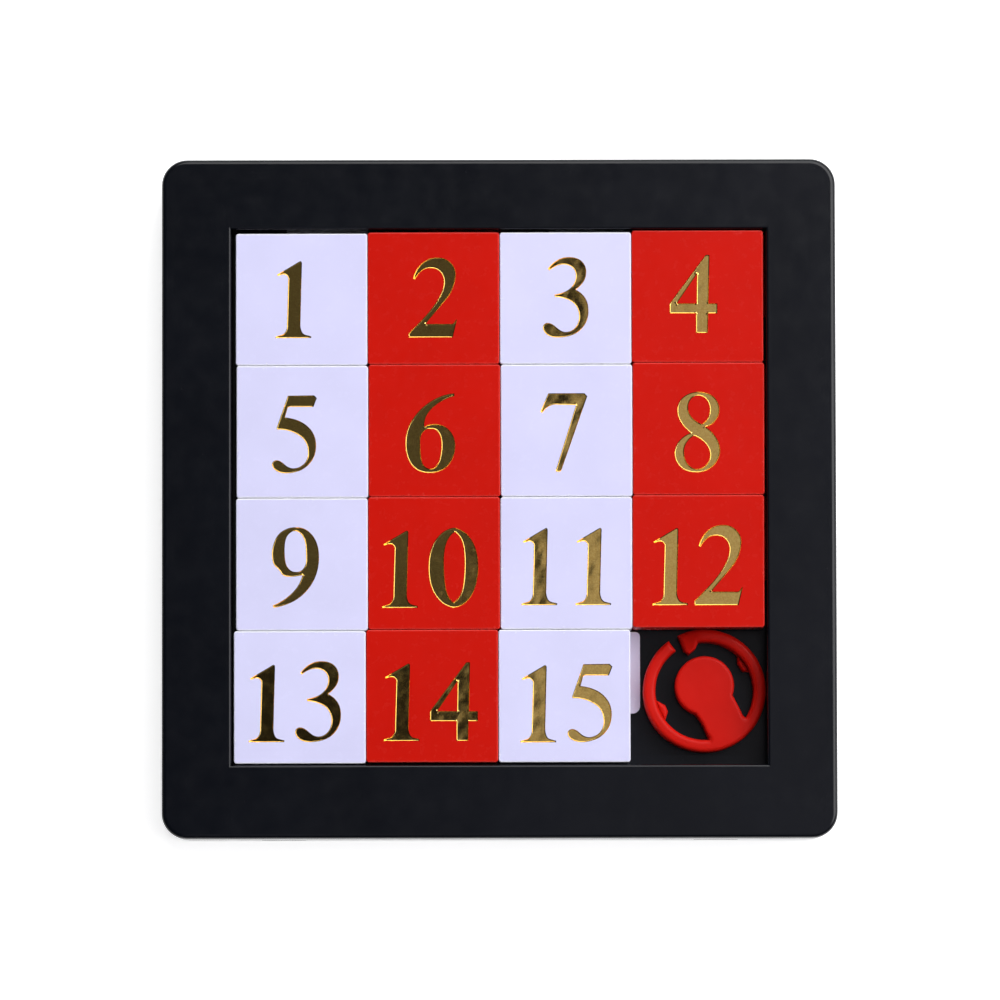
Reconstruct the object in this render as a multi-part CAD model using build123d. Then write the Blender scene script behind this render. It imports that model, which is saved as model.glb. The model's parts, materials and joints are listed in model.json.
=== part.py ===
"""Sliding tile puzzle: fifteen numbered tiles in a two-part frame, with a keeper clip in the empty cell.

Millimetres. The origin is the centre of the base's underside, +Z is up out of the
tray, +X runs along a row of tiles from left to right and +Y from the bottom row to the top row.
"""
import math
import os

from build123d import *

# ---- field of tiles: each pair is along X, then along Y --------------------------------
CELLS = 4
TILE = (18.82, 18.92)     # sides of a tile
PITCH = (18.88, 18.98)    # one cell of the 4 x 4 field
OPENING = (76.5, 76.7)    # clear field inside the bezel
FIELD_Y = 0.23            # the field lies this far above the middle of the frame
ROW_PLAY = [0.11, 0.21, 0.14, -0.17]      # how far each row lies to the right of the field's middle
COLUMN_PLAY = [-0.18, -0.02, -0.05, 0.19]  # how far each column lies above the field's middle

# ---- heights -------------------------------------------------------------------------
FLOOR_Z = 2.2             # top of the base plate, which the tiles slide on
SLIDE_GAP = 0.05          # running gap under the tiles
TILE_TOP = 11.5
LIP_Z = 4.1               # underside of the bezel's inner skirt and of the tile undercut
FRAME_TOP = 12.0

# ---- bezel ---------------------------------------------------------------------------
OUTER = (96.4, 97.2)      # outside of the bezel
OUTER_R = 3.65            # its corner radius in plan
SKIRT_FOOT = 0.4          # the skirt stops this far above the table
SKIRT_T = 1.8             # wall of the outer skirt
LIP_T = 1.5               # wall of the inner skirt
DECK_T = 1.8              # thickness of the flat top
EDGE_R = 0.7              # rounding of the outer top edge
INNER_EDGE_R = 0.35       # rounding of the edge round the opening
POST_D = 4.0              # posts that stand on the base

# ---- base ----------------------------------------------------------------------------
BASE_GAP = 0.1            # between the base plate and the bezel's skirt
RAIL_T = 1.4              # upstanding rail round the field
RAIL_GAP = 0.28           # between the rail and the bezel's inner skirt
RAIL_TOP = 5.2
LEDGE_TOP = 3.8           # ledge that the tiles' undercut runs over
LEDGE_REACH = 1.6
LEDGE_SHORT = 2.5         # the ledge stops this far before the opposite wall
LEDGE_END_R = 0.85

# ---- snap lugs -------------------------------------------------------------------------
LUG_PLACE = 31.0          # distance of each lug from the middle of its side
LUG_W = 6.0
LUG_REACH = 1.2
LUG_FOOT = 1.0
LUG_TOP = FLOOR_Z
WINDOW_PLAY = 0.2         # window is this much larger than the lug on every side

# ---- tiles -----------------------------------------------------------------------------
TILE_CORNER_R = 0.4
TILE_EDGE_R = 0.18
TONGUE_REACH = 1.5        # tongue on the right and top sides, under the next tile
TONGUE_LENGTH = 11.7
TONGUE_T = 1.6
TONGUE_TIP_R = 1.1        # rounding at the far corner of the tongue
UNDERCUT = 1.8            # step cut under the left and bottom sides
CORE_CELL = 6.3           # side of each of the four pockets under a tile
CORE_RIB = 1.2            # cross rib between the pockets
CORE_SHIFT = 0.7          # pockets sit off centre, clear of the undercut
CORE_TOP = 9.9
CORE_CORNER_R = 0.6

# ---- foil numerals -----------------------------------------------------------------------
STAMP_DEPTH = 0.22        # how deep the hot stamp sinks the numeral
FOIL_T = 0.08

# ---- keeper clip -------------------------------------------------------------------------
CLIP_X = 29.36
CLIP_Y = -27.42
CLIP_OUTER_R = 8.8
CLIP_INNER_R = 7.03
CLIP_FOOT = FLOOR_Z + SLIDE_GAP
CLIP_TOP = 7.6
STOP_TOP = 6.2            # the two small stops inside the ring are lower
GAP_FROM = 115.6          # degrees, the hooked end of the ring
GAP_TO = 125.6            # degrees, the plain end of the ring
PAD_R = 4.23              # round pad in the middle
PAD_Y = 0.72

# Each glyph is (outline, counters). An outline is a start point and then runs: a run of one
# point is a straight line to it, and a run of several is a smooth curve through them.
GLYPHS = {
    "0": ([(3.55, 11.45), [(1.75, 10.55), (0.35, 8.3), (0.0, 5.75), (0.35, 3.1), (1.75, 0.85), (3.6, 0.0)],
           [(5.4, 0.85), (6.75, 3.2), (7.1, 5.75), (6.75, 8.4), (5.4, 10.6), (3.55, 11.45)]],
          [[(3.75, 10.85), [(2.75, 9.7), (2.25, 7.8), (2.2, 5.75), (2.35, 3.5), (2.85, 1.6), (3.5, 0.75)],
            [(4.4, 1.6), (5.0, 3.6), (5.15, 5.75), (5.1, 7.9), (4.65, 9.8), (3.75, 10.85)]]]),
    "1": ([(0.0, 0.2), [(0.55, 0.38), (1.15, 0.6), (1.5, 1.1), (1.62, 1.9)], [(1.8, 8.3)],
           [(1.68, 8.85), (1.3, 9.12), (0.75, 9.05), (0.25, 8.95)], [(0.22, 9.1)], [(3.4, 10.98)],
           [(3.62, 11.02), (3.78, 10.75)], [(3.55, 1.9)], [(3.68, 1.1), (4.0, 0.6), (4.5, 0.4), (5.1, 0.25)],
           [(5.1, 0.0)], [(0.0, 0.0)], [(0.0, 0.2)]], []),
    "2": ([(0.72, 8.4), [(1.1, 9.5), (1.95, 10.6), (3.1, 11.3), (4.3, 11.44)],
           [(5.85, 10.95), (6.75, 9.6), (6.7, 8.1), (6.1, 6.4), (5.4, 5.4)],
           [(4.35, 4.15), (3.37, 3.0), (2.51, 1.94)], [(6.1, 1.92)], [(6.5, 2.05), (6.7, 2.3), (6.9, 2.6)],
           [(6.98, 2.5)], [(6.38, 0.0)], [(0.1, 0.0)], [(0.05, 0.55)],
           [(2.1, 2.64), (3.28, 4.01), (4.38, 5.65), (4.95, 6.93), (5.12, 8.02)],
           [(4.85, 9.02), (4.28, 9.66), (3.28, 9.95), (2.1, 9.66), (1.37, 8.95), (0.95, 8.3)],
           [(0.72, 8.4)]], []),
    "3": ([(0.78, 9.9), [(1.79, 10.9), (2.9, 11.45), (4.0, 11.55), (5.3, 11.2), (6.05, 10.4), (6.28, 9.3),
                         (6.0, 8.2), (5.4, 7.4), (4.78, 6.85)],
           [(5.7, 6.2), (6.36, 5.2), (6.58, 3.95), (6.4, 2.6), (5.7, 1.35), (4.5, 0.45), (3.1, 0.06),
            (1.9, 0.0), (0.95, 0.22), (0.25, 0.8), (0.03, 1.45), (0.27, 1.95), (0.85, 2.1), (1.5, 1.85),
            (2.2, 1.28), (2.86, 0.88), (3.65, 0.82), (4.45, 1.2), (5.0, 1.95), (5.22, 2.95), (5.08, 3.93),
            (4.6, 4.75), (3.8, 5.35), (2.9, 5.68), (1.75, 5.85)],
           [(1.7, 6.15)],
           [(2.8, 6.42), (3.84, 6.95), (4.5, 7.77), (4.76, 8.8), (4.55, 9.7), (3.93, 10.27), (2.95, 10.48),
            (1.96, 10.25), (0.95, 9.6)], [(0.78, 9.9)]], []),
    "4": ([(5.2, 11.2), [(0.12, 4.35)], [(0.02, 4.15)], [(0.02, 2.82)], [(3.78, 2.8)], [(3.78, 0.0)],
           [(5.46, 0.0)], [(5.52, 2.8)], [(6.85, 2.8)], [(6.85, 4.22)], [(5.58, 4.22)], [(5.74, 11.2)],
           [(5.2, 11.2)]],
          [[(3.95, 8.5), [(3.88, 4.24)], [(1.05, 4.24)], [(3.95, 8.5)]]]),
    "5": ([(2.3, 11.15), [(6.05, 11.2)], [(6.45, 10.8)], [(5.95, 9.53)], [(2.6, 9.55)],
           [(2.3, 9.4), (2.2, 9.15)], [(1.9, 8.05)],
           [(3.06, 7.84), (4.46, 7.26), (5.5, 6.38), (6.18, 5.16), (6.34, 3.85), (6.1, 2.53), (5.4, 1.38),
            (4.28, 0.52), (3.06, 0.12), (2.01, 0.02), (0.96, 0.22), (0.2, 0.79), (0.03, 1.35), (0.28, 1.78),
            (0.79, 1.9), (1.4, 1.66), (2.1, 1.08), (2.88, 0.76), (3.76, 0.86), (4.6, 1.4), (5.08, 2.27),
            (5.15, 3.32), (4.92, 4.28), (4.46, 4.98), (3.72, 5.55), (2.7, 6.03), (0.75, 6.3)],
           [(0.68, 6.5)], [(2.3, 11.15)]], []),
    "6": ([(7.0, 11.38), [(5.64, 11.16), (4.39, 10.67), (2.85, 9.69), (1.54, 8.38), (0.55, 6.83),
                          (0.06, 5.13), (0.02, 3.62), (0.32, 2.19), (1.0, 0.99), (2.1, 0.22), (3.5, 0.0),
                          (4.8, 0.2), (5.91, 0.88), (6.71, 2.0), (7.1, 3.35), (7.04, 4.69), (6.54, 5.8),
                          (5.64, 6.62), (4.57, 6.98), (3.68, 6.96), (2.72, 6.62)],
           [(2.72, 7.28), (3.05, 8.26), (3.8, 9.24), (4.93, 10.13), (6.0, 10.68), (7.05, 11.02)],
           [(7.0, 11.38)]],
          [[(3.65, 6.3), [(4.35, 6.15), (4.88, 5.5), (5.15, 4.06), (5.0, 2.46), (4.35, 0.95), (3.5, 0.55)],
            [(2.62, 1.1), (2.2, 2.5), (2.12, 4.06), (2.35, 5.6), (2.85, 6.15), (3.65, 6.3)]]]),
    "7": ([(1.2, 11.25), [(6.4, 11.25)], [(6.78, 10.8)], [(3.05, 0.2)], [(2.85, 0.0)], [(2.3, 0.0)],
           [(2.25, 0.2)], [(5.16, 9.55)], [(2.6, 9.6)], [(1.55, 9.48), (0.85, 9.05), (0.32, 8.4)],
           [(0.06, 8.6)], [(1.2, 11.25)]], []),
    "8": ([(4.4, 6.52), [(5.4, 6.95), (6.15, 7.85), (6.42, 9.1), (5.95, 10.45), (4.85, 11.3), (3.35, 11.55),
                         (1.8, 11.15), (0.75, 10.2), (0.4, 8.9), (0.75, 7.45), (1.45, 6.45), (2.3, 5.65)],
           [(1.1, 4.95), (0.3, 3.95), (0.0, 2.75), (0.35, 1.4), (1.35, 0.4), (2.9, 0.0), (4.5, 0.25),
            (5.85, 1.3), (6.5, 2.95), (6.2, 4.5), (5.45, 5.65), (4.4, 6.52)]],
          [[(3.4, 11.0), [(2.4, 10.55), (1.96, 9.5), (2.2, 8.3), (3.0, 7.4), (3.9, 6.9)],
            [(4.65, 7.6), (5.02, 8.5), (5.03, 9.4), (4.6, 10.4), (3.4, 11.0)]],
           [(2.75, 5.25), [(1.85, 4.45), (1.4, 3.5), (1.38, 2.4), (1.8, 1.3), (2.95, 0.48)],
            [(4.3, 0.9), (5.0, 1.95), (5.03, 2.95), (4.4, 4.15), (2.75, 5.25)]]]),
    "9": ([(3.5, 11.5), [(5.0, 11.12), (6.05, 10.05), (6.61, 8.7), (6.77, 7.13), (6.61, 5.61), (6.05, 3.95),
                         (5.18, 2.6), (3.93, 1.41), (2.32, 0.52), (0.3, 0.0)],
           [(0.12, 0.32)],
           [(1.43, 0.96), (2.64, 1.86), (3.55, 2.84), (4.1, 3.82), (4.4, 4.65)],
           [(3.39, 4.46), (2.3, 4.43), (1.65, 4.62), (1.25, 5.16)],
           [(0.8, 5.65)],
           [(0.32, 6.15), (0.06, 7.0), (0.04, 8.02), (0.31, 9.27), (0.92, 10.43), (1.95, 11.2), (3.5, 11.5)]],
          [[(3.48, 10.96), [(4.29, 10.4), (4.8, 9.1), (4.9, 7.66), (4.75, 6.0), (4.2, 5.3), (3.48, 5.12)],
            [(2.68, 5.36), (2.14, 6.05), (1.88, 7.3), (1.88, 8.91), (2.19, 10.16), (2.77, 10.79),
             (3.48, 10.96)]]]),
}

# Where each numeral's glyphs stand on their tile: baseline, then the left edge of each glyph.
NUMERAL_PLACES = {
    1: (-5.52, [-3.71]), 2: (-5.63, [-3.63]), 3: (-5.65, [-3.28]), 4: (-5.27, [-3.99]),
    5: (-5.96, [-4.36]), 6: (-6.07, [-4.14]), 7: (-5.91, [-3.79]), 8: (-6.28, [-3.43]),
    9: (-6.18, [-4.31]), 10: (-6.39, [-7.44, -0.79]), 11: (-6.01, [-6.42, 1.28]),
    12: (-6.3, [-6.63, -0.68]), 13: (-6.39, [-7.3, -0.7]), 14: (-6.41, [-6.92, -0.32]),
    15: (-6.63, [-6.3, 0.4]),
}


def block(x0, x1, y0, y1, z0, z1):
    """A plain box between two corners."""
    size = Box(x1 - x0, y1 - y0, z1 - z0)
    return Pos((x0 + x1) / 2, (y0 + y1) / 2, (z0 + z1) / 2) * size


def prism(face, z0, z1):
    """A flat face carried straight up from z0 to z1."""
    return Pos(0, 0, z0) * extrude(face, amount=z1 - z0)


def slab(sides, radius, z0, z1):
    """A plate with rounded corners, centred on the origin."""
    return prism(RectangleRounded(*sides, radius), z0, z1)


def wider(sides, margin):
    """A pair of sides with a margin added all round."""
    return sides[0] + 2 * margin, sides[1] + 2 * margin


def around(angle, radius):
    """The point at an angle in degrees and a radius."""
    turn = math.radians(angle)
    return radius * math.cos(turn), radius * math.sin(turn)


def outline_face(outline):
    """Close a start point and its runs into a face."""
    here = outline[0]
    edges = []
    for run in outline[1:]:
        points = [here] + run
        edges.append(Line(*points) if len(run) == 1 else Spline(*points))
        here = run[-1]
    return make_face(edges)


def glyph_face(glyph):
    """One digit with its counters cut out."""
    outline, counters = GLYPHS[glyph]
    face = outline_face(outline)
    for counter in counters:
        face -= outline_face(counter)
    return face


def on_four_sides(make, place):
    """A piece on each side of the frame, made on the front side for a side that far from the middle."""
    return [Rot(0, 0, quarter * 90) * make(place, OUTER[(quarter + 1) % 2] / 2) for quarter in range(4)]


# ---- base tray: the floor under the tiles, with the ledges and the snap lugs -----------
def snap_lug(place, half_outer):
    """A lug on the front side: flat underneath, sloped on top so that the bezel can snap over it."""
    edge = -(half_outer - SKIRT_T - BASE_GAP)
    side = [(edge + 0.5, LUG_FOOT), (edge - LUG_REACH, LUG_FOOT), (edge - LUG_REACH, LUG_FOOT + 0.4),
            (edge - 0.4, LUG_TOP), (edge + 0.5, LUG_TOP)]
    profile = Plane.YZ * make_face(Polyline(*side, close=True))
    return Pos(place - LUG_W / 2, 0, 0) * extrude(profile, amount=LUG_W, dir=(1, 0, 0))


def make_base_tray():
    rail_in = LIP_T + RAIL_GAP
    left, front = -OPENING[0] / 2, -OPENING[1] / 2
    plate = slab(wider(OUTER, -SKIRT_T - BASE_GAP), OUTER_R - SKIRT_T, 0, FLOOR_Z)
    plate = chamfer(plate.faces().sort_by(Axis.Z)[0].edges(), 0.3)
    rail = slab(wider(OPENING, rail_in + RAIL_T), 1.0, FLOOR_Z, RAIL_TOP)
    rail -= slab(wider(OPENING, rail_in), 0.5, FLOOR_Z, RAIL_TOP)
    stop_x, stop_y = -left - LEDGE_SHORT, -front - LEDGE_SHORT
    inner_x, inner_y = left + LEDGE_REACH, front + LEDGE_REACH
    ledge_line = [(left - rail_in, front - rail_in), (stop_x, front - rail_in), (stop_x, inner_y),
                  (inner_x, inner_y), (inner_x, stop_y), (left - rail_in, stop_y)]
    ledge = make_face(Polyline(*ledge_line, close=True))
    ends = [corner for corner in ledge.vertices()
            if (corner.X > 0 and corner.Y > front) or (corner.Y > 0 and corner.X > left)]
    ledge = fillet(ends, LEDGE_END_R)
    tray = plate + Pos(0, FIELD_Y, 0) * (rail + prism(ledge, FLOOR_Z, LEDGE_TOP))
    for place in (-LUG_PLACE, LUG_PLACE):
        for lug in on_four_sides(snap_lug, place):
            tray += lug
    return tray


# ---- bezel: the moulded frame that snaps down over the base ------------------------------
def lug_window(place, half_outer):
    """The hole in the front skirt that a lug snaps into."""
    reach = LUG_W / 2 + WINDOW_PLAY
    return block(place - reach, place + reach, -half_outer - 1, -half_outer + SKIRT_T + 0.2,
                 LUG_FOOT - WINDOW_PLAY / 2, LUG_TOP + WINDOW_PLAY)


def make_bezel():
    inside = wider(OUTER, -SKIRT_T)
    under_deck = FRAME_TOP - DECK_T
    shell = slab(OUTER, OUTER_R, SKIRT_FOOT, FRAME_TOP)
    shell = fillet(shell.faces().sort_by(Axis.Z)[-1].edges(), EDGE_R)
    shell = chamfer(shell.faces().sort_by(Axis.Z)[0].edges(), 0.2)
    shell -= slab(inside, OUTER_R - SKIRT_T, SKIRT_FOOT, under_deck)
    shell += Pos(0, FIELD_Y, 0) * slab(wider(OPENING, LIP_T), 0.5, LIP_Z, under_deck)
    shell -= Pos(0, FIELD_Y, 0) * Pos(0, 0, FRAME_TOP / 2) * Box(*OPENING, FRAME_TOP)
    rim = shell.faces().sort_by(Axis.Z)[-1].inner_wires()[0].edges()
    shell = fillet(rim, INNER_EDGE_R)
    rail = wider(OPENING, LIP_T + RAIL_GAP + RAIL_T)
    post_x, post_y = [(rail[k] + inside[k]) / 4 for k in (0, 1)]
    post = prism(Circle(POST_D / 2), FLOOR_Z, under_deck + 0.2)
    for x in (-post_x, 0, post_x):
        for y in (-post_y, 0, post_y):
            if x or y:
                shell += Pos(x, y, 0) * post
    for place in (-LUG_PLACE, LUG_PLACE):
        for cut in on_four_sides(lug_window, place):
            shell -= cut
    return shell


# ---- tiles: hollow moulded blocks that hold each other down with tongues ------------------
def make_blank_tile():
    """A tile centred on the origin in plan, before its numeral is stamped."""
    right, top = TILE[0] / 2, TILE[1] / 2
    foot = FLOOR_Z + SLIDE_GAP
    tile = prism(RectangleRounded(*TILE, TILE_CORNER_R), foot, TILE_TOP)
    tile = fillet(tile.faces().sort_by(Axis.Z)[-1].edges(), TILE_EDGE_R)
    tile -= block(-right - 1, -right + UNDERCUT, -top - 1, top + 1, foot, LIP_Z)
    tile -= block(-right - 1, right + 1, -top - 1, -top + UNDERCUT, foot, LIP_Z)
    tongue = Pos(TONGUE_REACH / 2 - 1, -TONGUE_LENGTH / 2) * Rectangle(TONGUE_REACH + 2, TONGUE_LENGTH)
    far_corner = tongue.vertices().sort_by(Axis.Y)[:2].sort_by(Axis.X)[-1]
    tongue = fillet(far_corner, TONGUE_TIP_R)
    near_corner = tongue.vertices().sort_by(Axis.Y)[-2:].sort_by(Axis.X)[-1]
    tongue = fillet(near_corner, TONGUE_TIP_R * 0.6)
    side_tongue = prism(tongue, foot, foot + TONGUE_T)
    top_tongue = mirror(side_tongue, about=Plane((0, 0, 0), z_dir=(1, -1, 0)))
    tile += Pos(right, top, 0) * side_tongue
    tile += Pos(right, top, 0) * top_tongue
    step = (CORE_CELL + CORE_RIB) / 2
    for x in (-step, step):
        for y in (-step, step):
            pocket = slab((CORE_CELL, CORE_CELL), CORE_CORNER_R, foot, CORE_TOP)
            tile -= Pos(x + CORE_SHIFT, y + CORE_SHIFT, 0) * pocket
    return tile


def cell_centre(number):
    """Where a tile's centre lies, with the play of its row and column."""
    row, column = divmod(number - 1, CELLS)
    middle = (CELLS - 1) / 2
    x = (column - middle) * PITCH[0] + ROW_PLAY[row]
    y = (middle - row) * PITCH[1] + COLUMN_PLAY[column] + FIELD_Y
    return x, y


def numeral_faces(number):
    """The flat faces of a tile's numeral, placed on a tile that is centred on the origin."""
    baseline, lefts = NUMERAL_PLACES[number]
    return [Pos(left, baseline) * glyph_face(digit) for digit, left in zip(str(number), lefts)]


def make_tile(blank, number):
    """One tile in its cell, and the foil numeral that lies in its stamped recess."""
    tile = blank
    foil = []
    for face in numeral_faces(number):
        tile -= prism(face, TILE_TOP - STAMP_DEPTH, TILE_TOP + 1)
        foil.append(prism(face, TILE_TOP - STAMP_DEPTH, TILE_TOP - STAMP_DEPTH + FOIL_T))
    place = Pos(*cell_centre(number), 0)
    return place * tile, [place * piece for piece in foil]


# ---- keeper clip: an open spring ring with a finger pad, packed in the empty cell ----------
def make_keeper_clip():
    ring = Circle(CLIP_OUTER_R) - Circle(CLIP_INNER_R)
    far = CLIP_OUTER_R * 2
    gap = [(0, 0), around(GAP_FROM, far), around(GAP_TO, far)]
    ring -= make_face(Polyline(*gap, close=True))
    hook = [around(GAP_FROM, CLIP_OUTER_R - 0.6), (-2.9, 5.74), (-2.21, 5.26), (-1.27, 6.02),
            (-0.72, 7.3)]
    stop_right = [around(50, 7.4), around(40, 6.25), around(27, 6.25), around(22, 7.4)]
    stop_left = [around(188, 7.4), around(200, 5.95), around(209, 5.95), around(219, 7.4)]
    web = [(-1.6, -2.6), (-1.13, -3.55), (-0.44, -4.51), (0.37, -6.28), (0.8, -7.4), (4.3, -6.4),
           (6.2, -4.1), (5.5, -3.55), (4.89, -2.32), (4.2, -0.95), (3.0, 0.6)]
    flat = ring + Pos(0, PAD_Y) * Circle(PAD_R)
    for part_line in (hook, web):
        flat += make_face(Polyline(*part_line, close=True))
    clip = prism(flat, CLIP_FOOT, CLIP_TOP)
    for part_line in (stop_right, stop_left):
        clip += prism(make_face(Polyline(*part_line, close=True)), CLIP_FOOT, STOP_TOP)
    return Pos(CLIP_X, CLIP_Y, 0) * clip


os.makedirs("parts", exist_ok=True)
export_step(make_base_tray(), "parts/base_tray.step")
export_step(make_bezel(), "parts/bezel.step")
export_step(make_keeper_clip(), "parts/keeper_clip.step")
blank_tile = make_blank_tile()
for number in range(1, CELLS * CELLS):
    tile, foil = make_tile(blank_tile, number)
    export_step(tile, f"parts/tile_{number:02d}.step")
    export_step(Compound(foil), f"parts/numeral_{number:02d}.step")
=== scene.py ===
"""Looks for a sliding tile puzzle: a moulded frame, fifteen tiles with foil numerals and a keeper clip.

Metres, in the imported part's own frame: origin under the middle of the base, +Z up out of the tray.
"""

import json
import math

import bpy
import numpy as np
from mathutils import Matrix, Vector
from mathutils.geometry import delaunay_2d_cdt


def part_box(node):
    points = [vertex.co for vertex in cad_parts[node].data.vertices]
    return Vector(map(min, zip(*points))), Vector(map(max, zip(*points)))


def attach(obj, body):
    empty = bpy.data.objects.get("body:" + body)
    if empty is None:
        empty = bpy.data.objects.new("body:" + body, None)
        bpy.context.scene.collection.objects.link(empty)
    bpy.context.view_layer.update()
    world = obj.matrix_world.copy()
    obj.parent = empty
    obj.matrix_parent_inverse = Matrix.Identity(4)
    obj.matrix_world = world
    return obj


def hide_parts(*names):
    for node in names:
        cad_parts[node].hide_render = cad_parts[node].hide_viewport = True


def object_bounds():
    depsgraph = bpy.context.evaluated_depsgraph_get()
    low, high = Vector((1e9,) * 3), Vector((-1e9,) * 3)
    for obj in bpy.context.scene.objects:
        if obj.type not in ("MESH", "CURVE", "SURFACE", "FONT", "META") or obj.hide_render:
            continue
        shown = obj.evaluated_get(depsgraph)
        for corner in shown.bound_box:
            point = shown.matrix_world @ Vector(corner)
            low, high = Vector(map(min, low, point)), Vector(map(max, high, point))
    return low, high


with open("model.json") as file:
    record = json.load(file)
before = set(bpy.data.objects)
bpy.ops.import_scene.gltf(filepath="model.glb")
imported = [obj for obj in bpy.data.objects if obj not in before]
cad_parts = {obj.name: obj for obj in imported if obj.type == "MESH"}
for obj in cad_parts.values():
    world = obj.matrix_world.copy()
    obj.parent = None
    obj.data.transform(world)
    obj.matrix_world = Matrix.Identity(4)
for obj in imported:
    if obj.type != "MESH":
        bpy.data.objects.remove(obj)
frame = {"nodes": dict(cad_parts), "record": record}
cad_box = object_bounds()

# ---- base tray -------------------------------------------------------------------------
# The floor that the tiles slide on: black polystyrene, injection moulded, with the ledges,
# the rail and the snap lugs in one piece. It has a satin sheen over a very fine grain.
MM = 0.001
BLACK = (0.0028, 0.0036, 0.0060)


class Nodes:
    """A material's node tree, with short ways to add a node and to join sockets."""

    def __init__(self, name, colour):
        self.material = bpy.data.materials.new(name)
        self.material.use_nodes = True
        self.material.diffuse_color = (*colour, 1.0)
        self.tree = self.material.node_tree
        self.shader = self.tree.nodes["Principled BSDF"]
        self.shader.inputs["Base Color"].default_value = (*colour, 1.0)
        self.place = self.add("ShaderNodeTexCoord").outputs["Object"]

    def add(self, kind, **settings):
        node = self.tree.nodes.new(kind)
        for key, value in settings.items():
            setattr(node, key, value)
        return node

    def join(self, source, target):
        self.tree.links.new(source, target)

    def set(self, **values):
        """Constant values straight on the shader's own sockets."""
        for key, value in values.items():
            self.shader.inputs[key.replace("_", " ")].default_value = value

    def noise(self, grain, detail=2.0, roughness=0.5):
        """Smooth noise whose features are about `grain` metres across."""
        node = self.add("ShaderNodeTexNoise", noise_dimensions="3D")
        node.inputs["Scale"].default_value = 1.0 / grain
        node.inputs["Detail"].default_value = detail
        node.inputs["Roughness"].default_value = roughness
        self.join(self.place, node.inputs["Vector"])
        return node.outputs["Fac"]

    def ramp(self, source, low, high, to_low=0.0, to_high=1.0):
        """Map low..high of the source to to_low..to_high, and clamp."""
        node = self.add("ShaderNodeMapRange", clamp=True)
        for socket, value in zip(node.inputs[1:5], (low, high, to_low, to_high)):
            socket.default_value = value
        self.join(source, node.inputs["Value"])
        return node.outputs["Result"]

    def combine(self, operation, first, second):
        node = self.add("ShaderNodeMath", operation=operation)
        for socket, value in zip(node.inputs, (first, second)):
            if isinstance(value, (int, float)):
                socket.default_value = value
            else:
                self.join(value, socket)
        return node.outputs[0]

    def mix(self, share, first, second):
        """Blend two colours, each a tuple or a socket, by a share from 0 to 1. The node keeps its colour
        inputs at 6 and 7 and its colour output at 2."""
        node = self.add("ShaderNodeMix", data_type="RGBA")
        self.join(share, node.inputs["Factor"])
        for socket, value in zip((node.inputs[6], node.inputs[7]), (first, second)):
            if isinstance(value, tuple):
                socket.default_value = (*value, 1.0)
            else:
                self.join(value, socket)
        return node.outputs[2]

    def bumps(self, *heights):
        """Chain bumps, each (height socket, depth in metres), onto the shader's normal."""
        previous = None
        for height, depth in heights:
            node = self.add("ShaderNodeBump")
            node.inputs["Distance"].default_value = depth
            self.join(height, node.inputs["Height"])
            if previous:
                self.join(previous, node.inputs["Normal"])
            previous = node.outputs["Normal"]
        self.join(previous, self.shader.inputs["Normal"])


def black_plastic():
    """Satin black: a fine grain, an uneven sheen, and a faint unevenness in tone with specks of dust."""
    n = Nodes("black_moulding", BLACK)
    grain = n.noise(0.16 * MM, detail=3.0, roughness=0.6)
    cloud = n.noise(14 * MM, detail=3.0)
    specks = n.ramp(n.noise(0.5 * MM, detail=1.0), 0.74, 0.80)
    tone = n.mix(n.ramp(cloud, 0.35, 0.65), BLACK, (0.0036, 0.0045, 0.0073))
    dust = n.combine("MULTIPLY", specks, 0.5)
    n.join(n.mix(dust, tone, (0.012, 0.012, 0.016)), n.shader.inputs["Base Color"])
    n.join(n.ramp(n.noise(3 * MM, detail=4.0), 0.3, 0.7, 0.15, 0.22), n.shader.inputs["Roughness"])
    n.set(IOR=1.5, Specular_IOR_Level=0.32)
    n.bumps((grain, 0.005 * MM), (cloud, 0.08 * MM))
    return n.material


def finish_node(name, material):
    """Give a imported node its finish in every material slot."""
    mesh = frame["nodes"][name].data
    mesh.materials.clear()
    mesh.materials.append(material)


black_moulding = black_plastic()
finish_node("base_tray", black_moulding)

# ---- bezel -----------------------------------------------------------------------------
# The square frame round the field: the same black polystyrene, snapped down over the base.
finish_node("bezel", black_moulding)

# ---- tiles -----------------------------------------------------------------------------
# Fifteen hollow blocks, injection moulded in white and in red polystyrene and polished on
# top. A paler line along their sides is a painted highlight on the rounded edges, which also
# lightens the shade in the seams between rows. Handling has left small nicks near the edges.
WHITE = (0.725, 0.716, 0.990)
RED = (0.600, 0.0068, 0.0018)
# paler colours, for the painted highlight along each tile's sides and for the nicks near them
EDGE_HIGHLIGHT_AND_NICK_WHITE = (0.93, 0.94, 1.0)
EDGE_HIGHLIGHT_AND_NICK_RED = (0.74, 0.045, 0.034)
TILE_COUNT = 15
TONGUE = 1.5 * MM           # how far a tile's right and top tongues reach beyond its sides
EDGE = 0.25 * MM            # width of the paler edge line, a painted highlight


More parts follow.
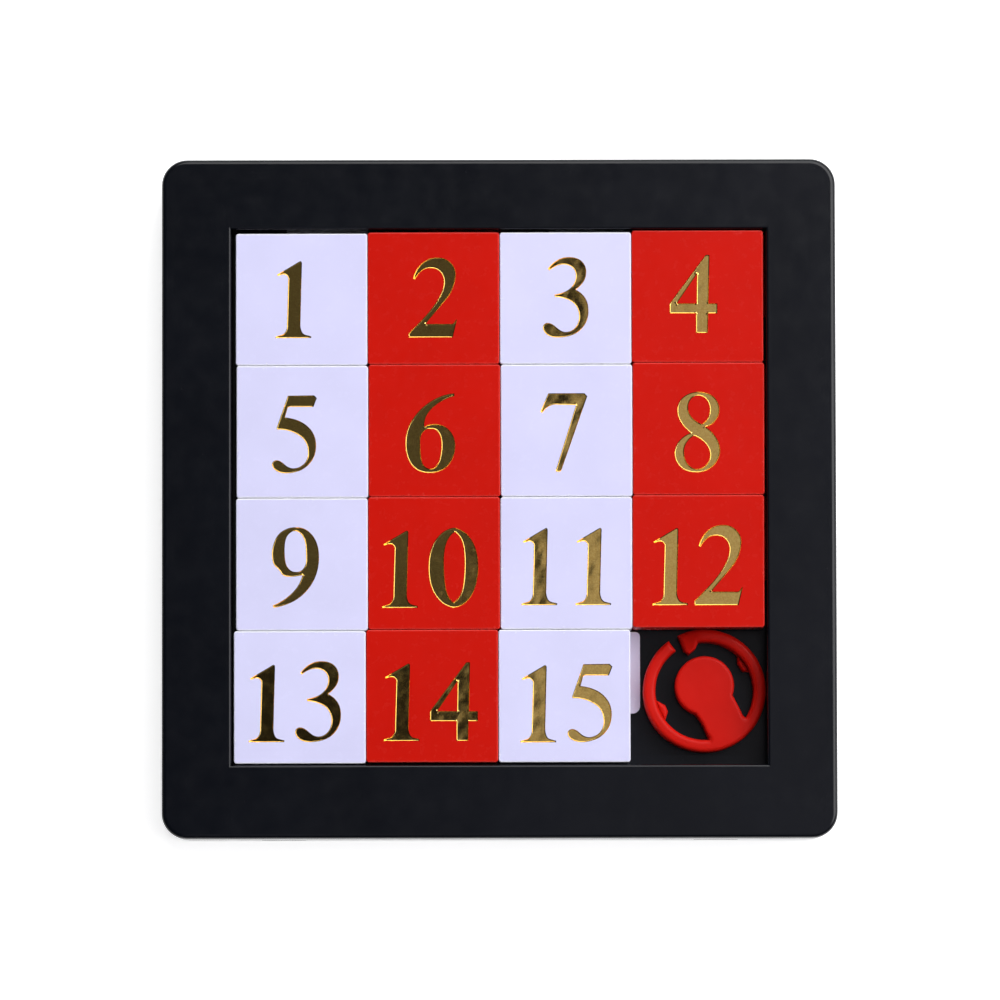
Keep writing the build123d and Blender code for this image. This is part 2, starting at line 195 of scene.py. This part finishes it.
def tile_plastic(name, colour, highlight_and_nick, centre, half):
    """Polished plastic with a paler line along one tile's four sides, which is a painted highlight, and
    nicks near them, as seen from above.
    """
    n = Nodes(name, colour)
    to_middle = n.add("ShaderNodeMapping", vector_type="POINT")
    to_middle.inputs["Location"].default_value = (-centre[0], -centre[1], 0.0)
    n.join(n.place, to_middle.inputs["Vector"])
    parts = n.add("ShaderNodeSeparateXYZ")
    n.join(to_middle.outputs[0], parts.inputs[0])
    past = [n.combine("SUBTRACT", n.combine("ABSOLUTE", parts.outputs[k], 0.0), half[k]) for k in (0, 1)]
    # painted highlight: a paler line along the sides, stronger on the top and bottom, where it lightens the
    # shade in the seams between rows
    edge_highlights = [n.ramp(past[k], -EDGE, -0.3 * EDGE, 0.0, share) for k, share in ((0, 0.45), (1, 0.90))]
    band = n.ramp(n.combine("MAXIMUM", past[0], past[1]), -3.0 * EDGE, -EDGE)
    nicks = n.combine("MULTIPLY", n.ramp(n.noise(0.45 * MM, detail=2.0), 0.66, 0.72), band)
    cloud = n.noise(9 * MM, detail=2.0)
    deeper = tuple(0.95 * c for c in colour)
    tone = n.mix(n.ramp(cloud, 0.3, 0.7), deeper, colour)
    # lay on the painted edge highlight
    tone = n.mix(n.combine("MAXIMUM", edge_highlights[0], edge_highlights[1]), tone, highlight_and_nick)
    tone = n.mix(n.combine("MULTIPLY", nicks, 0.6), tone, highlight_and_nick)
    n.join(tone, n.shader.inputs["Base Color"])
    scuffs = n.noise(1.3 * MM, detail=5.0, roughness=0.65)
    n.join(n.ramp(scuffs, 0.3, 0.7, 0.20, 0.30), n.shader.inputs["Roughness"])
    n.set(IOR=1.5, Specular_IOR_Level=0.14)
    n.bumps((scuffs, 0.004 * MM), (cloud, 0.08 * MM), (nicks, -0.02 * MM))
    return n.material


FINISHES = {0: ("red", RED, EDGE_HIGHLIGHT_AND_NICK_RED), 1: ("white", WHITE, EDGE_HIGHLIGHT_AND_NICK_WHITE)}
for number in range(1, TILE_COUNT + 1):
    node = f"tile_{number:02d}"
    low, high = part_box(node)
    half = [(high[k] - low[k] - TONGUE) / 2 for k in (0, 1)]
    centre = [low[k] + half[k] for k in (0, 1)]
    name, colour, highlight_and_nick = FINISHES[number % 2]
    finish_node(node, tile_plastic(f"{name}_tile_{number:02d}", colour, highlight_and_nick, centre, half))

# ---- foil numerals ---------------------------------------------------------------------
# Metallic gold foil, hot stamped: the die sinks it into the tile with sloping sides, and its
# floor keeps fine ripples. Each foil is a closed sheet that fills its pocket up to the brim.
GOLD = (0.95, 0.63, 0.18)
WALL = 0.11 * MM            # width of the sloping side
DEPTH = 0.14 * MM           # from the tile's top to the foil's floor
FOIL_RINGS = [k * WALL / 4 for k in (1, 2, 3, 4, 5)]
FOIL_STEP = 0.16 * MM
SAME = 1e-6                 # points nearer than this are one point
NEARNESS = 0.97             # a ring's point nearer the outline than this share of its offset is left out
CREASE = math.radians(50)   # edges that turn more than this are sharp


def flat_outline(node, level):
    """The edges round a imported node's flat faces at one height, as points and directed edges with the
    face on their left.

    Loose triangles are joined by position. An edge whose reverse isn't in the faces is on their outline."""
    mesh = frame["nodes"][node].data
    places = np.empty(len(mesh.vertices) * 3)
    mesh.vertices.foreach_get("co", places)
    places = places.reshape(-1, 3)
    mesh.calc_loop_triangles()
    corners = np.empty(len(mesh.loop_triangles) * 3, int)
    mesh.loop_triangles.foreach_get("vertices", corners)
    corners = corners.reshape(-1, 3)
    flat = abs(places[:, 2] - level) < SAME
    corners = corners[flat[corners].all(1)]
    used, corners = np.unique(corners, return_inverse=True)
    keys = np.round(places[used, :2] / SAME).astype(int)
    keys, merged = np.unique(keys, axis=0, return_inverse=True)
    corners = merged.reshape(-1)[corners.reshape(-1, 3)]
    edges = corners[:, [0, 1, 1, 2, 2, 0]].reshape(-1, 2)
    code = edges[:, 0] * len(keys) + edges[:, 1]
    reverse = edges[:, 1] * len(keys) + edges[:, 0]
    return keys * SAME, edges[~np.isin(code, reverse)]


def even_steps(points, edges, step):
    """Divide every directed edge into equal steps: points along it, and the row that follows each."""
    start, end = points[edges[:, 0]], points[edges[:, 1]]
    count = np.maximum(1, np.ceil(np.linalg.norm(end - start, axis=1) / step)).astype(int)
    first = np.cumsum(count) - count
    owner = np.repeat(np.arange(len(edges)), count)
    share = (np.arange(count.sum()) - first[owner]) / count[owner]
    along = start[owner] + share[:, None] * (end - start)[owner]
    row_from = np.empty(len(points), int)
    row_from[edges[:, 0]] = first
    following = np.arange(len(along)) + 1
    following[first + count - 1] = row_from[edges[:, 1]]
    return along, following


def gap_to(points, start, end):
    """Shortest distance from each point to any of the straight pieces start..end."""
    run = end - start
    offset = points[:, None] - start[None]
    share = np.clip((offset * run).sum(2) / (run * run).sum(1), 0, 1)
    return np.linalg.norm(offset - share[..., None] * run, axis=2).min(1)


def inside(points, start, end):
    """Even-odd rule: a ray to the right crosses the outline an odd number of times."""
    px, py = points[:, 0, None], points[:, 1, None]
    crosses = (start[:, 1] > py) != (end[:, 1] > py)
    rise = np.where(end[:, 1] == start[:, 1], 1.0, end[:, 1] - start[:, 1])
    reach = start[:, 0] + (py - start[:, 1]) / rise * (end[:, 0] - start[:, 0])
    return (crosses & (px < reach)).sum(1) % 2 == 1


def filled_body(name, node, level, step, rings, height, foot, material):
    """A closed body inside the outline that a node has at one height. The height of the body's own top
    depends on the place and on the distance in from the outline.

    Points lie on the outline, on rings offset inwards from it, and on a square grid further in. A
    Delaunay mesh joins them, `height(xy, distance)` lifts them, and a flat foot and sides close it."""
    outline, edges = flat_outline(node, level)
    rim, following = even_steps(outline, edges, step)
    start, end = rim, rim[following]
    before = np.empty(len(rim), int)
    before[following] = np.arange(len(rim))
    run = rim[following] - rim[before]
    inward = np.stack((-run[:, 1], run[:, 0]), 1) / np.linalg.norm(run, axis=1)[:, None]
    points = [rim]
    for ring in rings:
        offset = rim + ring * inward
        points.append(offset[(gap_to(offset, start, end) > NEARNESS * ring) & inside(offset, start, end)])
    low, high = rim.min(0), rim.max(0)
    grid = np.stack(np.meshgrid(*(np.arange(a, b, step) for a, b in zip(low, high))), -1).reshape(-1, 2)
    grid = grid[inside(grid, start, end)]
    points.append(grid[gap_to(grid, start, end) > rings[-1] + 0.5 * step])
    points = np.concatenate(points)
    loops = np.stack((np.arange(len(rim)), following), 1)
    scaled = ((points - low) / MM).tolist()
    found = delaunay_2d_cdt(scaled, loops.tolist(), [], 0, 1e-7, False)
    flat = np.array([tuple(p) for p in found[0]]) * MM + low
    triangles = np.array(found[2])
    triangles = triangles[inside(flat[triangles].mean(1), start, end)]
    used, triangles = np.unique(triangles, return_inverse=True)
    flat, triangles = flat[used], triangles.reshape(-1, 3)
    side = triangles[:, [0, 1, 1, 2, 2, 0]].reshape(-1, 2)
    code, reverse = side @ (len(flat), 1), side @ (1, len(flat))
    side = side[~np.isin(code, reverse)]
    count = len(flat)
    top = np.column_stack((flat, height(flat, gap_to(flat, start, end))))
    base = np.column_stack((flat, np.full(count, foot)))
    walls = np.column_stack((side + count, side[:, ::-1]))
    mesh = bpy.data.meshes.new(name)
    faces = triangles.tolist() + (triangles[:, ::-1] + count).tolist() + walls.tolist()
    mesh.from_pydata(np.concatenate((top, base)).tolist(), [], faces)
    mesh.polygons.foreach_set("use_smooth", np.ones(len(faces), bool))
    mesh.update()
    mesh.set_sharp_from_angle(angle=CREASE)
    mesh.materials.append(material)
    piece = bpy.data.objects.new(name, mesh)
    bpy.context.scene.collection.objects.link(piece)
    return piece


def gold_foil():
    """Mirror-like gold with a slightly crazed surface: bump at two grain sizes and uneven roughness."""
    n = Nodes("gold_leaf", GOLD)
    fine = n.noise(0.22 * MM, detail=3.0, roughness=0.6)
    broad = n.noise(0.9 * MM, detail=2.0)
    tone = n.mix(n.ramp(fine, 0.35, 0.65), (0.84, 0.55, 0.140), (1.0, 0.71, 0.215))
    n.join(tone, n.shader.inputs["Base Color"])
    n.join(n.ramp(broad, 0.3, 0.7, 0.04, 0.09), n.shader.inputs["Roughness"])
    n.set(Metallic=1.0)
    n.bumps((fine, 0.0005 * MM), (broad, 0.0012 * MM))
    return n.material


rng = np.random.default_rng(15)
WAVES = 14
wave_length = rng.uniform(0.9, 3.2, WAVES) * MM
wave_turn = rng.uniform(0, 2 * np.pi, WAVES)
wave_phase = rng.uniform(0, 2 * np.pi, WAVES)
RIPPLE_SLOPE = 0.0012       # of one wave


def ripple(xy):
    """The foil floor's unevenness: a sum of plane waves, each as tall as its length times one slope."""
    along = xy[:, :1] * np.cos(wave_turn) + xy[:, 1:] * np.sin(wave_turn)
    height = RIPPLE_SLOPE * wave_length / (2 * np.pi)
    return (height * np.sin(2 * np.pi * along / wave_length + wave_phase)).sum(1)


def smooth(t):
    """Ease from 0 to 1, level at both ends."""
    t = np.clip(t, 0, 1)
    return t * t * (3 - 2 * t)


gold_leaf = gold_foil()
tile_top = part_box("tile_01")[1].z


def pressed(xy, distance):
    """From the tile's top down the sloping side to the rippled floor."""
    drop = smooth(distance / WALL)
    return tile_top - DEPTH * drop + ripple(xy) * drop


bodies = {node: body for body, nodes in frame["record"]["behaviour"]["bodies"].items() for node in nodes}
for number in range(1, TILE_COUNT + 1):
    node = f"numeral_{number:02d}"
    low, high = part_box(node)
    name = f"foil_{number:02d}"
    foil = filled_body(name, node, high.z, FOIL_STEP, FOIL_RINGS, pressed, low.z, gold_leaf)
    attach(foil, bodies[node])
    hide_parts(node)

# ---- keeper clip -----------------------------------------------------------------------
# An open spring ring with a finger pad, moulded in red polypropylene. It lies loose in the
# empty cell, so that no tile can slide into it.
CLIP_RED = (0.565, 0.0085, 0.0045)
clip_low, clip_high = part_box("keeper_clip")
STOP_TOP = 6.2 * MM         # the two stops inside the ring are lower
RING_WIDTH = 1.77 * MM
RING_OUT = (clip_high.x - clip_low.x) / 2
RING_IN = RING_OUT - RING_WIDTH
clip_middle = np.array([(clip_low.x + clip_high.x) / 2, clip_high.y - RING_OUT])
RING_ROUND = 0.62 * MM
PAD_ROUND = 0.40 * MM
WIDER_FROM = 1.2 * MM       # this far inside the ring, the rounding starts to widen
WIDER_RUN = 1.0 * MM
HOOK_FROM = 5.2 * MM        # nearer the middle than this is the pad
HOOK_START = 92             # degrees round from +X, where the ring starts to sink
HOOK_RUN = 24
HOOK_END = 120
HOOK_DROP = 0.7 * MM
CLIP_STEP = 0.2 * MM
CLIP_RINGS = [k * RING_ROUND for k in (0.04, 0.12, 0.25, 0.42, 0.65, 0.9)]


def rounded(distance, rounding):
    """How far below the top a rounded edge lies: a quarter circle as wide and as deep as its rounding."""
    near = np.minimum(distance, rounding)
    return rounding - np.sqrt(rounding ** 2 - (rounding - near) ** 2)


def clip_surface(xy, distance):
    """Rounded along every edge, widely on the ring and narrowly on the pad. The ring sinks towards the
    end of its hook."""
    from_middle = xy - clip_middle
    radius = np.linalg.norm(from_middle, axis=1)
    angle = np.degrees(np.arctan2(from_middle[:, 1], from_middle[:, 0])) % 360
    on_ring = smooth((radius - RING_IN + WIDER_FROM) / WIDER_RUN)
    rounding = PAD_ROUND + (RING_ROUND - PAD_ROUND) * on_ring
    hook = smooth((angle - HOOK_START) / HOOK_RUN) * ((angle < HOOK_END) & (radius > HOOK_FROM))
    return clip_high.z - rounded(distance, rounding) - HOOK_DROP * hook


def stop_surface(xy, distance):
    """Flat with narrowly rounded edges."""
    return STOP_TOP - rounded(distance, PAD_ROUND)


def clip_plastic():
    """Satin red polypropylene, a little cloudy, with a faint flow pattern."""
    n = Nodes("red_polypropylene", CLIP_RED)
    cloud = n.noise(4 * MM, detail=3.0)
    grain = n.noise(0.35 * MM, detail=3.0)
    n.join(n.mix(n.ramp(cloud, 0.3, 0.7), (0.535, 0.0078, 0.0040), CLIP_RED), n.shader.inputs["Base Color"])
    n.join(n.ramp(grain, 0.3, 0.7, 0.30, 0.42), n.shader.inputs["Roughness"])
    n.set(IOR=1.49, Specular_IOR_Level=0.10)
    n.bumps((grain, 0.006 * MM), (cloud, 0.08 * MM))
    return n.material


red_polypropylene = clip_plastic()
for name, level, surface in (("clip_body", clip_high.z, clip_surface),
                             ("clip_stops", STOP_TOP, stop_surface)):
    clip = filled_body(name, "keeper_clip", level, CLIP_STEP, CLIP_RINGS, surface, clip_low.z,
                       red_polypropylene)
    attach(clip, "clip")
    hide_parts("keeper_clip")

# ---- floor, lights and camera ----------------------------------------------------------
# A white sheet, one wide dim panel overhead to the right, one bright panel lower on the same
# side, a faint glow on the ceiling to the left, and a long lens almost straight above.
FLOOR_HALF = 3.0
FLOOR_DROP = 0.02 * MM      # the sheet lies a hair under the flat underside, so that they don't coincide
PAPER = (0.93, 0.93, 0.93)
PAPER_GLOW = 0.75           # bright enough to hide the shadow
floor_mesh = bpy.data.meshes.new("paper_floor")
corner = np.array([(-1, -1), (1, -1), (1, 1), (-1, 1)]) * FLOOR_HALF
floor_mesh.from_pydata(np.column_stack((corner, np.zeros(4))).tolist(), [], [(0, 1, 2, 3)])
floor = bpy.data.objects.new("paper_floor", floor_mesh)
floor.location.z = -FLOOR_DROP
bpy.context.scene.collection.objects.link(floor)
paper = Nodes("white_paper", PAPER)
paper.set(Roughness=0.9, Specular_IOR_Level=0.1, Emission_Color=(1, 1, 1, 1), Emission_Strength=PAPER_GLOW)
floor_mesh.materials.append(paper.material)


def panel(name, middle, turn, width, length, radiance, tint=(1, 1, 1)):
    """A soft panel: its power is pi times its area times the brightness of its face."""
    light = bpy.data.lights.new(name, "AREA")
    light.shape = "RECTANGLE"
    light.size, light.size_y = width, length
    light.energy = math.pi * width * length * radiance
    light.color = tint
    lamp = bpy.data.objects.new(name, light)
    lamp.location = middle
    lamp.rotation_euler = turn
    bpy.context.scene.collection.objects.link(lamp)


CEILING = 1.5
TOP_WIDTH, TOP_LENGTH = 1.6, 2.6
TOP_RADIANCE = 0.42
TOP_TINT = (0.93, 0.90, 1.0)
EDGE_TURN = math.radians(-13.3)
EDGE_POINT = (0.0, 0.012)   # the left edge of the overhead panel runs through this point
top_middle = (EDGE_POINT[0] + math.cos(EDGE_TURN) * TOP_WIDTH / 2,
              EDGE_POINT[1] + math.sin(EDGE_TURN) * TOP_WIDTH / 2, CEILING)
panel("overhead_panel", top_middle, (0, 0, EDGE_TURN), TOP_WIDTH, TOP_LENGTH, TOP_RADIANCE, TOP_TINT)

GLOW_SIZE = 1.6
GLOW_FRONT = 0.05           # the glow starts this far behind the middle of the puzzle
GLOW_RADIANCE = 0.055
GLOW_RISE = 0.01            # it hangs this far above the overhead panel
glow_middle = (-GLOW_SIZE / 2, GLOW_FRONT + GLOW_SIZE / 2, CEILING + GLOW_RISE)
panel("ceiling_glow", glow_middle, (0, 0, 0), GLOW_SIZE, GLOW_SIZE, GLOW_RADIANCE)

SIDE_AZIMUTH = math.radians(42)
SIDE_HEIGHT = math.radians(50)
SIDE_DISTANCE = 1.18
SIDE_WIDTH, SIDE_LENGTH = 2.4, 1.1
SIDE_RADIANCE = 3.45
side_middle = SIDE_DISTANCE * Vector((math.cos(SIDE_HEIGHT) * math.cos(SIDE_AZIMUTH),
                                      math.cos(SIDE_HEIGHT) * math.sin(SIDE_AZIMUTH),
                                      math.sin(SIDE_HEIGHT)))
side_turn = (math.pi / 2 - SIDE_HEIGHT, 0, SIDE_AZIMUTH + math.pi / 2)
panel("side_panel", side_middle, side_turn, SIDE_WIDTH, SIDE_LENGTH, SIDE_RADIANCE)

ROOM = (0.014, 0.014, 0.016)
world = bpy.data.worlds.new("dim_room")
world.use_nodes = True
world.node_tree.nodes["Background"].inputs["Color"].default_value = (*ROOM, 1.0)
bpy.context.scene.world = world

LENS = 302.4
DISTANCE = 1.2
TILT = math.radians(3.62)
ROLL = math.radians(-0.115)
AIM_X, AIM_Y = -0.02 * MM, -0.27 * MM
camera_data = bpy.data.cameras.new("camera")
camera_data.lens = LENS
camera_data.clip_start, camera_data.clip_end = 0.05, 20.0
camera = bpy.data.objects.new("camera", camera_data)
middle = (Vector(cad_box[0]) + Vector(cad_box[1])) / 2
aim = Vector((middle.x + AIM_X, middle.y + AIM_Y, tile_top))
camera.location = aim + DISTANCE * Vector((0, -math.sin(TILT), math.cos(TILT)))
camera.rotation_euler = (TILT, 0, ROLL)
bpy.context.scene.collection.objects.link(camera)
bpy.context.scene.camera = camera
bpy.context.scene.view_settings.view_transform = "Standard"
